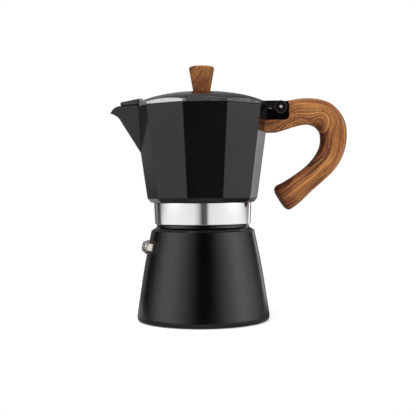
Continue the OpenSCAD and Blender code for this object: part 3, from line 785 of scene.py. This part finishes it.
class Look:
    """A node material built step by step around one Principled shader."""

    def __init__(self, name, **constants):
        self.material = bpy.data.materials.new(name)
        self.material.use_nodes = True
        self.tree = self.material.node_tree
        self.shader = self.tree.nodes["Principled BSDF"]
        for socket, value in constants.items():
            self.shader.inputs[socket.replace("_", " ")].default_value = value
        self.place = self.add("ShaderNodeTexCoord").outputs["Object"]

    def add(self, kind, inputs=None, **settings):
        return add_node(self.tree, kind, inputs, **settings)

    def stretch(self, vector, scale, turn=(0, 0, 0), shift=(0, 0, 0)):
        return self.add("ShaderNodeMapping", {"Vector": vector, "Scale": scale, "Rotation": turn,
                                              "Location": shift}).outputs["Vector"]

    def noise(self, vector, scale, detail=4, rough=0.55):
        return self.add("ShaderNodeTexNoise", {"Vector": vector, "Scale": scale, "Detail": detail,
                                               "Roughness": rough}).outputs[0]

    def math(self, operation, a, b=0.0):
        return self.add("ShaderNodeMath", {0: a, 1: b}, operation=operation).outputs[0]

    def vector(self, operation, a, b):
        return self.add("ShaderNodeVectorMath", {0: a, 1: b}, operation=operation).outputs[0]

    def range(self, value, low, high, to_low, to_high):
        return self.add("ShaderNodeMapRange", {"Value": value, "From Min": low, "From Max": high,
                                               "To Min": to_low, "To Max": to_high}).outputs[0]

    def ramp(self, value, stops):
        return add_ramp(self.tree, value, stops)

    def mix(self, share, a, b, kind="MIX"):
        node = self.add("ShaderNodeMix", data_type="RGBA", blend_type=kind)
        for socket, value in zip((node.inputs[0], node.inputs[6], node.inputs[7]), (share, a, b)):
            if isinstance(value, bpy.types.NodeSocket):
                self.tree.links.new(value, socket)
            else:
                socket.default_value = value if isinstance(value, float) else (*value, 1)
        return node.outputs[2]

    def bump(self, height, strength, distance):
        return self.add("ShaderNodeBump", {"Height": height, "Strength": strength,
                                           "Distance": distance}).outputs["Normal"]

    def to(self, socket, value):
        self.tree.links.new(value, self.shader.inputs[socket])


def srgb(r, g, b):
    """A colour given as it shows on a screen, 0 to 255."""
    def linear(v):
        v /= 255
        return v / 12.92 if v <= 0.04045 else ((v + 0.055) / 1.055) ** 2.4
    return tuple(linear(v) for v in (r, g, b))


def edge_wear_and_highlight(look):
    """1 on convex edges, 0 elsewhere: where edge wear and a painted edge highlight lighten the paint."""
    point = look.add("ShaderNodeNewGeometry").outputs["Pointiness"]
    return look.range(point, 0.53, 0.6, 0.0, 1.0)


def black_paint(name, rough, tint, wear_and_highlight=None):
    """Satin stove enamel: fine orange peel, dust-fine speckle, and edges lightened by wear and as a painted
    edge highlight.
    wear_and_highlight gives where unpainted metal shows, partly as wear and partly as a painted highlight,
    from 0 to 1."""
    look = Look(name, Specular_IOR_Level=0.5)
    peel = look.noise(look.place, 1500, 2, 0.5)
    fine = look.noise(look.place, 6000, 2, 0.6)
    cloud = look.noise(look.place, 45, 4, 0.6)
    speckle = look.range(look.noise(look.place, 3800, 1, 0.5), 0.68, 0.78, 0.0, 1.0)
    dark = tuple(0.75 * v for v in tint)
    light = tuple(1.35 * v for v in tint)
    base = look.mix(cloud, dark, light)
    base = look.mix(look.math("MULTIPLY", speckle, 0.5), base, tuple(9 * v for v in tint))
    # Convex edges lighter: edge wear and a painted edge highlight
    base = look.mix(look.math("MULTIPLY", edge_wear_and_highlight(look), 0.5), base, tuple(4 * v for v in tint))
    look.to("Base Color", base)
    spread = look.math("ADD", look.range(cloud, 0.3, 0.7, rough - 0.03, rough + 0.03),
                       look.range(fine, 0.3, 0.7, -0.025, 0.025))
    look.to("Roughness", spread)
    height = look.math("ADD", peel, look.math("MULTIPLY", fine, 0.35))
    look.to("Normal", look.bump(height, 0.35, 0.00002))
    if wear_and_highlight:
        # Unpainted metal specks: partly wear, partly a painted highlight
        bare_and_highlight = wear_and_highlight(look)
        look.to("Base Color", look.mix(bare_and_highlight, base, (0.62, 0.62, 0.64)))
        look.to("Metallic", bare_and_highlight)
        look.to("Roughness", look.math("ADD", spread, look.math("MULTIPLY", bare_and_highlight, 0.15)))
    return look.material


def lid_wear_and_highlight(look):
    """Unpainted metal showing through in specks on the lid's upright edge, packed far more densely on the
    spout side as a painted highlight; the lugs' rims get a faint painted highlight.
    """
    normal = look.add("ShaderNodeTexCoord").outputs["Normal"]
    out = look.add("ShaderNodeSeparateXYZ", {0: normal}).outputs["Z"]
    x, y, z = look.add("ShaderNodeSeparateXYZ", {0: look.place}).outputs
    upright = look.range(out, 0.55, 0.75, 1.0, 0.0)
    above = look.range(z, LID_Z * MM, (LID_Z + 0.3) * MM, 0.0, 1.0)
    # The tab and the lugs beyond the pot's rim keep their paint
    rim = RIM_R * MM
    pot = look.math("MULTIPLY", look.range(x, -rim + 0.004, -rim + 0.0055, 0.0, 1.0),
                    look.range(x, rim - 0.0095, rim - 0.0075, 1.0, 0.0))
    # The painted highlight of dense specks fills the spout side and fades out near each corner of the front
    # side
    corner = rim * math.sin(HALF_SIDE)
    near, far = corner - 0.0034, corner - 0.0004
    side = look.range(x, -far, -near, 1.0, 0.14)
    side = look.math("MULTIPLY", side, look.range(x, near, far, 1.0, 0.0))
    specks = look.noise(look.place, 2600, 2, 0.6)
    specks_and_highlight = look.math("ADD", specks, look.math("MULTIPLY", side, 0.25))
    specks_and_highlight = look.range(specks_and_highlight, 0.55, 0.72, 0.0, 1.0)
    share = look.math("MULTIPLY", look.math("MULTIPLY", upright, above), look.math("MULTIPLY", pot, specks_and_highlight))
    # A faint painted highlight rings the lugs' rims round the hinge pin
    off_ring = look.math("SUBTRACT", from_pin(look), (LUG_R - 0.35) * MM)
    ring = look.range(look.math("ABSOLUTE", off_ring), 0.0, 0.5 * MM, 0.045, 0.0)
    return look.math("MAXIMUM", look.math("MULTIPLY", share, 0.8), ring)


def polished_metal(name, colour, rough, lines, line_strength):
    """Turned and polished metal: fine rings round the pot's axis and faint hazing."""
    look = Look(name, Metallic=1.0)
    ringed = look.stretch(look.place, (3, 3, lines))
    rings = look.noise(ringed, 1, 3, 0.7)
    haze = look.noise(look.place, 60, 5, 0.6)
    tone = look.mix(look.range(rings, 0.35, 0.65, 0.0, 1.0), tuple(0.94 * v for v in colour), colour)
    dull = tuple(0.88 * v for v in colour)
    look.to("Base Color", look.mix(look.range(haze, 0.3, 0.7, 0.0, 0.35), tone, dull))
    spread = look.math("ADD", look.range(rings, 0.3, 0.7, rough * 0.7, rough * 1.4),
                       look.range(haze, 0.3, 0.7, -0.015, 0.03))
    look.to("Roughness", spread)
    look.to("Normal", look.bump(rings, line_strength, 0.00001))
    return look.material


def cast_metal(name, colour, rough, painted_light=None):
    """Plain spun or cast metal with a soft grain and small pits. painted_light, if given, gives where it is
    darkened as painted shade.
    """
    look = Look(name, Metallic=1.0)
    grain = look.noise(look.place, 900, 4, 0.65)
    blotch = look.noise(look.place, 70, 4, 0.6)
    base = look.mix(look.range(blotch, 0.3, 0.7, 0.0, 1.0), tuple(0.82 * v for v in colour), colour)
    if painted_light:
        # Darkened where painted_light says, such as the dark rim round the pin's painted highlight
        base = look.mix(painted_light(look), base, tuple(0.06 * v for v in colour))
    look.to("Base Color", base)
    look.to("Roughness", look.math("ADD", look.range(blotch, 0.3, 0.7, rough - 0.06, rough + 0.06),
                                   look.range(grain, 0.3, 0.7, -0.04, 0.04)))
    look.to("Normal", look.bump(grain, 0.3, 0.00003))
    return look.material


def from_pin(look):
    """Distance from the hinge pin's axis, in metres."""
    away = look.vector("SUBTRACT", look.place, (PIN_X * MM, 0, PIN_Z * MM))
    away = look.vector("MULTIPLY", away, (1, 0, 1))
    return look.add("ShaderNodeVectorMath", {0: away}, operation="LENGTH").outputs["Value"]


def pin_painted_highlight(look):
    """A painted highlight on the pin's ends: bright in the middle and darkened round the edge."""
    return look.range(from_pin(look), 0.62 * PIN_R * MM, 0.85 * PIN_R * MM, 0.0, 1.0)


def rubber(name, colour, rough):
    """Moulded silicone or fibre with a dusty, slightly uneven surface."""
    look = Look(name, Specular_IOR_Level=0.4)
    cloud = look.noise(look.place, 120, 4, 0.6)
    grain = look.noise(look.place, 2500, 3, 0.6)
    dusty = tuple(0.86 * v for v in colour)
    look.to("Base Color", look.mix(look.range(cloud, 0.3, 0.7, 0.0, 1.0), dusty, colour))
    look.to("Roughness", look.range(cloud, 0.3, 0.7, rough - 0.06, rough + 0.06))
    look.to("Normal", look.bump(grain, 0.25, 0.00004))
    return look.material


def wood_grain(name, along, arches, fineness=1.0, painted_light=None):
    """Wood-printed plastic under a satin lacquer. The figure's lines run along the third axis of the
    place given, and each arch (length, spread, height) lifts them into a cathedral figure."""
    look = Look(name, Coat_Weight=0.05, Coat_Roughness=0.3, Specular_IOR_Level=0.22)
    place = along(look)
    wander = look.add("ShaderNodeTexNoise", {"Vector": look.stretch(place, (50, 50, 20)), "Scale": 1.0,
                                             "Detail": 2.5, "Roughness": 0.5}).outputs["Color"]
    pull = look.vector("SUBTRACT", wander, (0.5, 0.5, 0.5))
    pull = look.vector("MULTIPLY", pull, (0.005, 0.0085, 0.014))
    bent = look.vector("ADD", place, pull)
    across, depth, length = look.add("ShaderNodeSeparateXYZ", {0: bent}).outputs
    # Which growth line a point lies on
    line = look.math("ADD", depth, look.math("MULTIPLY", across, 0.6))
    fade = look.range(depth, -0.010, 0.010, 1.0, 0.12)
    for start, spread, height in arches:
        t = look.math("DIVIDE", look.math("SUBTRACT", length, start), spread)
        falling = look.math("MULTIPLY", look.math("MULTIPLY", t, t), -1.0)
        hill = look.math("MULTIPLY", look.math("POWER", math.e, falling), height)
        line = look.math("SUBTRACT", line, look.math("MULTIPLY", hill, fade))
    lines = look.add("ShaderNodeCombineXYZ", {0: line, 1: 0.0, 2: length}).outputs[0]
    bands = look.noise(look.stretch(lines, (520 * fineness, 1, 8 * fineness)), 1.0, 5, 0.66)
    fibre = look.noise(look.stretch(lines, (2400, 1, 90)), 1.0, 3, 0.6)
    grit = look.noise(look.stretch(place, (1300, 1300, 500)), 1.0, 2, 0.6)
    figure = look.math("ADD", bands, look.math("ADD", look.range(fibre, 0.3, 0.7, -0.09, 0.09),
                                               look.range(grit, 0.3, 0.7, -0.045, 0.045)))
    colour = look.ramp(figure, [(0.31, srgb(74, 34, 12)), (0.40, srgb(114, 63, 28)),
                                (0.49, srgb(157, 100, 50)), (0.59, srgb(182, 124, 68)),
                                (0.72, srgb(203, 148, 90))])
    vein = look.noise(look.stretch(lines, (430 * fineness, 1, 5 * fineness)), 1.0, 3, 0.55)
    vein = look.range(look.math("ABSOLUTE", look.math("SUBTRACT", vein, 0.5)), 0.0, 0.05, 0.9, 0.0)
    broken = look.range(look.noise(look.stretch(lines, (110, 1, 26)), 1.0, 3, 0.6), 0.38, 0.52, 0.0, 1.0)
    colour = look.mix(look.math("MULTIPLY", vein, broken), colour, srgb(62, 26, 8))
    broad = look.noise(look.stretch(lines, (60, 1, 20)), 1.0, 2, 0.5)
    colour = look.mix(look.range(broad, 0.42, 0.66, 0.0, 0.7), colour, srgb(180, 130, 96), "MULTIPLY")
    # Painted shade on the inner side, and a darker tip, multiplied into the colour
    if painted_light:
        colour = look.mix(painted_light(look, depth, length), colour, srgb(140, 98, 74), "MULTIPLY")
    look.to("Base Color", colour)
    look.to("Roughness", look.range(bands, 0.3, 0.7, 0.52, 0.4))
    look.to("Normal", look.bump(look.math("ADD", fibre, bands), 0.2, 0.00004))
    return look.material


def handle_shade_and_dark_tip(look, depth, length):
    """Painted shade along the handle's inner side, and darker over its tip."""
    inner = look.range(depth, -0.0105, -0.0025, 0.9, 0.0)
    inner = look.math("MULTIPLY", inner, look.range(length, 0.012, 0.034, 0.1, 1.0))
    tip = look.range(length, (HANDLE_LENGTH - 14) * MM, HANDLE_LENGTH * MM, 0.0, 0.9)
    return look.math("MAXIMUM", inner, tip)


def along_handle(look):
    return look.add("ShaderNodeAttribute", attribute_name="grain").outputs["Vector"]


def along_knob(look):
    """The knob is cut aslant through the wood."""
    middle = (0, 0, -(KNOB_LOW.z + KNOB_HIGH.z) / 2 * MM)
    centred = look.stretch(look.place, (1, 1, 1), (0, 0, 0), middle)
    upright = look.add("ShaderNodeCombineXYZ", {})
    x, y, z = look.add("ShaderNodeSeparateXYZ", {0: centred}).outputs
    for socket, source in zip(upright.inputs, (y, x, z)):
        look.tree.links.new(source, socket)
    return look.stretch(upright.outputs[0], (1, 1, 1), (0.42, 0.12, 0.0))


PAINT = black_paint("satin_black", 0.12, srgb(2.5, 2.5, 2.7))
MATT_PAINT = black_paint("matt_black", 0.2, srgb(2, 2, 2.2))
LID_PAINT = black_paint("lid_black", 0.16, srgb(18, 12, 10), lid_wear_and_highlight)
MIRROR = polished_metal("polished_collar", (0.91, 0.91, 0.92), 0.07, 5200, 0.12)
SPUN = polished_metal("spun_aluminium", (0.76, 0.77, 0.78), 0.22, 2600, 0.3)
NICKEL = polished_metal("nickelled_brass", (0.80, 0.74, 0.68), 0.13, 3000, 0.1)
STEEL = cast_metal("bright_steel", (0.72, 0.72, 0.73), 0.24)
PIN_STEEL = cast_metal("pin_steel_painted_highlight", (0.93, 0.93, 0.93), 0.5, pin_painted_highlight)
BRASS = cast_metal("brass_insert", (0.78, 0.58, 0.28), 0.3)
FIBRE = rubber("fibre_washer", srgb(58, 44, 36), 0.7)
RED = rubber("red_seal", srgb(168, 44, 30), 0.5)
WHITE = rubber("white_seal", srgb(226, 224, 218), 0.45)
HANDLE_LENGTH = float(np.linalg.norm(np.diff(handle_path(PATH_STEPS)[:, :2], axis=0), axis=1).sum())
HANDLE_WOOD = wood_grain("handle_grain", along_handle, [(0.004, 0.010, 0.014), (0.027, 0.011, 0.020),
                                                        (0.154, 0.016, -0.010)], 1.15, handle_shade_and_dark_tip)
KNOB_WOOD = wood_grain("knob_grain", along_knob, [(0.0, 0.02, 0.004)], 2.3)

# ---------------------------------------------------------------- pieces


def finish_piece(piece, body, slot, material, *replaced, angle=28):
    smooth(piece, angle)
    piece.data.materials.clear()
    piece.data.materials.append(material)
    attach(piece, body)
    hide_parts(*replaced)


finish_piece(make_boiler(), "boiler", "black_paint", MATT_PAINT, "boiler")
finish_piece(make_collar(), "collector", "polished_aluminium", MIRROR, "threaded_collar")
finish_piece(make_collector(), "collector", "black_paint", PAINT, "collector")
finish_piece(make_lid(), "lid", "black_paint", LID_PAINT, "lid")
finish_piece(make_knob(), "lid", "wood_grain", KNOB_WOOD, "knob")
finish_piece(make_handle(), "collector", "wood_grain", HANDLE_WOOD, "handle", angle=35)

def finish_spring():
    """The safety valve's coil spring, on the boiler, with a mesh of its own."""
    place = valve_place()
    piece = make_spring()
    finish_piece(piece, "boiler", "steel", STEEL, "valve_spring")
    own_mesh(piece)


finish_spring()

CAD_LOOKS = {
    "valve_washer": FIBRE, "valve_body": NICKEL, "valve_retainer": NICKEL, "valve_plunger": STEEL,
    "valve_seal": RED, "funnel": SPUN, "funnel_disc": SPUN, "gasket": WHITE,
    "filter_plate": SPUN, "hinge_pin": PIN_STEEL, "knob_insert": BRASS, "knob_screw": STEEL,
    "handle_screw": STEEL, "handle_washer": STEEL}
for node_name, material in CAD_LOOKS.items():
    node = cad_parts[node_name]
    node.data.materials.clear()
    node.data.materials.append(material)

# ---------------------------------------------------------------- stage, light, camera


FLOOR_R = 280


def make_stage():
    """A round pale floor, small enough that the steep sides above mirror the room past its edge."""
    floor = loft("floor", [circle(r, 0, 96) for r in (0, 60, 120, FLOOR_R)])
    look = Look("pale_floor", Roughness=0.9, Specular_IOR_Level=0.0)
    patch = look.noise(look.place, 6, 2, 0.5)
    # Polished things mirror a dimmer, patchy floor, so that they stand out from it on every side
    mirrored = look.add("ShaderNodeLightPath").outputs["Is Glossy Ray"]
    pale = look.mix(patch, (0.90, 0.90, 0.90), (0.93, 0.93, 0.93))
    dim = look.mix(look.range(patch, 0.4, 0.6, 0.0, 1.0), (0.12, 0.12, 0.12), (0.5, 0.5, 0.5))
    look.to("Base Color", look.mix(mirrored, pale, dim))
    look.shader.inputs["Emission Color"].default_value = (1, 1, 1, 1)
    look.to("Emission Strength", look.range(mirrored, 0.0, 1.0, 0.3, 0.0))
    floor.data.materials.append(look.material)


# How bright the surroundings are, by the turn from the camera's side in degrees. The first row is
# for what lies lower than the eye, the second for what lies higher.
LOW_WALLS = [
    (-180, 0.2), (-166, 0.25), (-163, 0.8), (-160, 0.8), (-157, 0.12), (-124, 0.12), (-117, 0.8), (-108, 0.9),
    (-72, 0.98), (-22, 0.88), (-12, 0.55), (-4, 0.07), (2, 0.11), (6, 0.1), (11, 0.7), (16, 0.86), (72, 0.99),
    (116, 0.97), (128, 0.8), (137, 0.45), (142, 1.35), (148, 1.35), (153, 0.2), (180, 0.2)]
HIGH_WALLS = [
    (-180, 0.4), (-155, 0.1), (-147, 0.26), (-141, 0.26), (-134, 0.03), (-124, 0.03), (-112, 0.2),
    (-98, 0.75), (-84, 1.5), (-66, 1.75), (-49, 1.3), (-25, 0.45), (-12, 0.03), (10, 0.02), (20, 0.24),
    (38, 0.95), (50, 1.5), (66, 2.1), (78, 1.9), (96, 1.1), (110, 0.55), (125, 0.15), (138, 0.1),
    (142, 1.3), (148, 1.3), (152, 0.1), (165, 0.1), (180, 0.4)]
# How far up or down a ray points where one row gives way to the other, and to the plain ceiling
BLEND_LOW, BLEND_HIGH = -0.1, -0.03
CEILING_LOW, CEILING_HIGH = 0.45, 0.75
CEILING = (0.3, 0.3, 0.305, 1)
# Where the soft light on matt things comes from, and how bright it is away from there and there
LAMP_SIDE = (-0.1, -0.72, 0.69)
LAMP_DIM, LAMP_BRIGHT = 0.1, 1.75


def make_world():
    """Soft studio surroundings: bright walls left and right, a dark gap towards the camera."""
    world = bpy.data.worlds.new("studio")
    bpy.context.scene.world = world
    world.use_nodes = True
    tree = world.node_tree
    tree.nodes.clear()

    def add(kind, inputs=None, **settings):
        return add_node(tree, kind, inputs, **settings)

    def blend(share, a, b):
        return add("ShaderNodeMix", {0: share, 6: a, 7: b}, data_type="RGBA").outputs[2]

    def walls(turn, stops):
        greys = [(degrees / 360 + 0.5, (value, value, value)) for degrees, value in stops]
        return add_ramp(tree, turn, greys)

    def rise(low, high):
        return add("ShaderNodeMapRange", {"Value": split.outputs["Z"], "From Min": low, "From Max": high},
                   interpolation_type="SMOOTHSTEP").outputs[0]

    direction = add("ShaderNodeTexCoord").outputs["Generated"]
    split = add("ShaderNodeSeparateXYZ", {0: direction})
    front = add("ShaderNodeMath", {0: split.outputs["Y"], 1: -1.0}, operation="MULTIPLY").outputs[0]
    turn = add("ShaderNodeMath", {0: split.outputs["X"], 1: front}, operation="ARCTAN2").outputs[0]
    turn = add("ShaderNodeMapRange", {"Value": turn, "From Min": -math.pi, "From Max": math.pi}).outputs[0]
    sides = blend(rise(BLEND_LOW, BLEND_HIGH), walls(turn, LOW_WALLS), walls(turn, HIGH_WALLS))
    room = blend(rise(CEILING_LOW, CEILING_HIGH), sides, CEILING)
    toward = add("ShaderNodeVectorMath", {0: direction, 1: LAMP_SIDE},
                 operation="DOT_PRODUCT").outputs["Value"]
    soft = add("ShaderNodeMapRange", {"Value": toward, "From Min": -0.3, "From Max": 1.0,
                                      "To Min": LAMP_DIM, "To Max": LAMP_BRIGHT}).outputs[0]
    path = add("ShaderNodeLightPath")
    room = blend(path.outputs["Is Diffuse Ray"], room, soft)
    lit = add("ShaderNodeBackground", {"Color": room}).outputs[0]
    seen = add("ShaderNodeBackground", {"Color": (1, 1, 1, 1)}).outputs[0]
    choose = add("ShaderNodeMixShader", {0: path.outputs["Is Camera Ray"], 1: lit, 2: seen}).outputs[0]
    add("ShaderNodeOutputWorld", {"Surface": choose})


def make_sun(source, width, strength):
    """An even overhead light, as from a wide soft box: source is the direction that it comes from."""
    data = bpy.data.lights.new("overhead", "SUN")
    data.angle = math.radians(width)
    data.energy = strength
    light = bpy.data.objects.new("overhead", data)
    light.rotation_euler = Vector(source).to_track_quat("Z", "Y").to_euler()
    bpy.context.scene.collection.objects.link(light)


def make_camera():
    """A nearly level camera just above the collector's foot, turned slightly to the spout's side
    and rolled by half a degree."""
    turn = math.radians(2.65)
    roll = math.radians(-0.47)
    distance = 0.63
    eye_z = 0.0972
    target = Vector((0.00405, 0, 0.085))
    data = bpy.data.cameras.new("camera")
    data.sensor_width = 36
    data.lens = 71.4
    camera = bpy.data.objects.new("camera", data)
    camera.location = (-distance * math.sin(turn), -distance * math.cos(turn), eye_z)
    level = (target - camera.location).to_track_quat("-Z", "Y")
    camera.rotation_euler = (level @ Quaternion((0, 0, 1), roll)).to_euler()
    bpy.context.scene.collection.objects.link(camera)
    bpy.context.scene.camera = camera


make_stage()
make_world()
make_sun((-0.5, -0.5, 0.9), 25, 0.25)
make_camera()
bpy.context.scene.view_settings.view_transform = "Standard"
